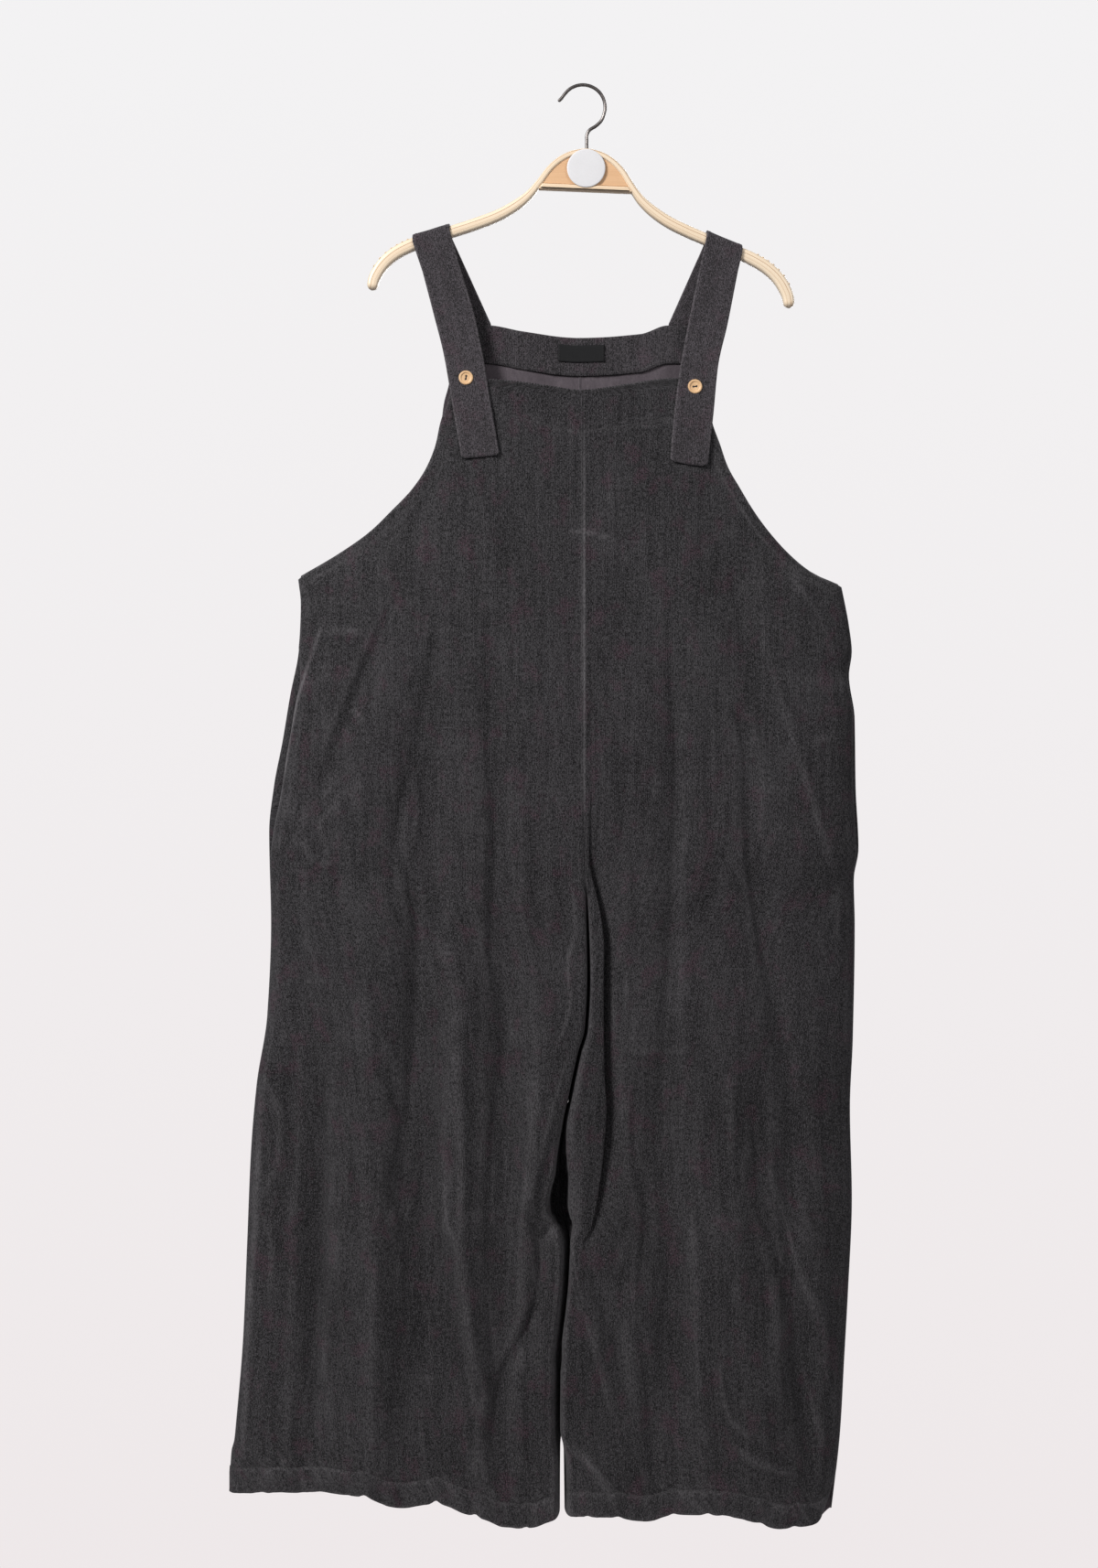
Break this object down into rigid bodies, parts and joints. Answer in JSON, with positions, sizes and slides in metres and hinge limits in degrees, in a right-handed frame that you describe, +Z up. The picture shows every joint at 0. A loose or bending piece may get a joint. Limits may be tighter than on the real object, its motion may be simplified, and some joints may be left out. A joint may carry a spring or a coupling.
{
  "type": "bib overalls on a hanger",
  "caption": "Drop-crotch bib overalls in fine corduroy with wide cropped legs and buttoned straps, hung from a bent wooden hanger by its wire hook.",
  "frame": {"origin": "where the hanger's hook bears on the peg that holds it, at the top inside of the wire loop", "axes": "+Z up, the front of the garment faces -Y, the wearer's right leg is at -X"},
  "size_m": [0.6558, 0.0872, 1.5016],
  "materials": {
    "needlecord": "washed charcoal needlecord, matt",
    "needlecord_strap": "washed charcoal needlecord, matt, a little lighter",
    "neck_tape": "black woven satin tape",
    "button_wood": "pale varnished wood",
    "hanger_wood": "pale varnished beech",
    "hanger_ply": "varnished brown veneer",
    "disc_card": "plain white sticker",
    "hook_steel": "dark bright steel wire"
  },
  "bodies": {
    "root": {"front_panel_left": "needlecord", "front_panel_right": "needlecord", "back_panel_left": "needlecord", "back_panel_right": "needlecord", "back_neck_facing": "needlecord", "pocket_bag_left": "needlecord", "pocket_bag_right": "needlecord", "strap_left": "needlecord_strap", "strap_right": "needlecord_strap", "neck_label": "neck_tape", "button_left": "button_wood", "button_right": "button_wood", "hanger_bow": "hanger_wood", "hanger_bar": "hanger_wood", "hanger_infill": "hanger_ply", "hanger_disc": "disc_card", "hanger_hook": "hook_steel"}
  },
  "joints": []
}
